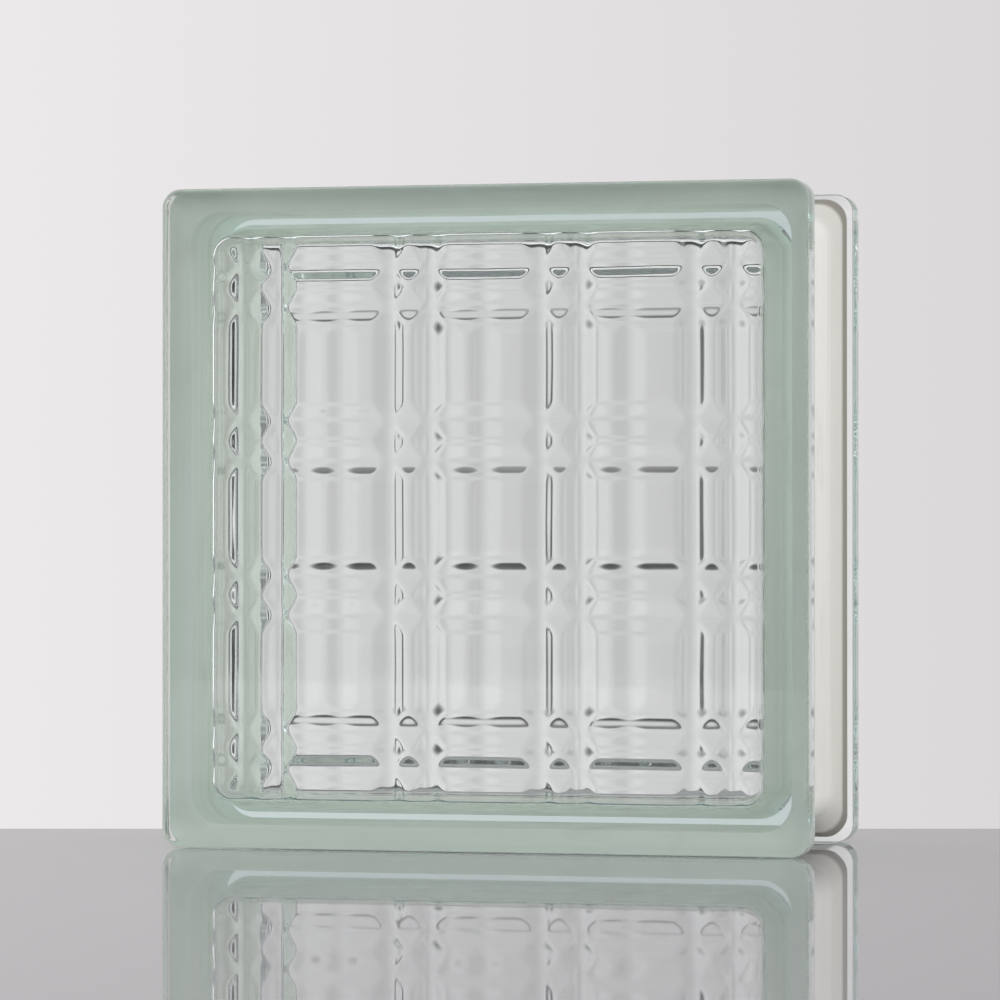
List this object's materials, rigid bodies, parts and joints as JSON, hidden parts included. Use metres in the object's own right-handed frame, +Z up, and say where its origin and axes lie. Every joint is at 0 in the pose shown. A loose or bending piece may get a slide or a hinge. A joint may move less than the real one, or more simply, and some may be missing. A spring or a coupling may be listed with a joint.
{
  "type": "glass block",
  "caption": "Hollow square glass building block standing on edge, with pairs of ribs crossing inside clear faces, thick rims and white-coated sides that key into mortar.",
  "frame": {"origin": "centre of the bottom edge, on the floor, midway between the two faces", "axes": "+X along the width, +Y from the front face to the back face, +Z up"},
  "size_m": [0.19, 0.08, 0.19],
  "materials": {
    "clear_glass": "clear pressed glass with a slight green tint, smooth outside",
    "white_coat": "thin off-white brushed coat, satin"
  },
  "bodies": {
    "root": {"glass_body": "clear_glass", "edge_coating": "white_coat"}
  },
  "joints": []
}
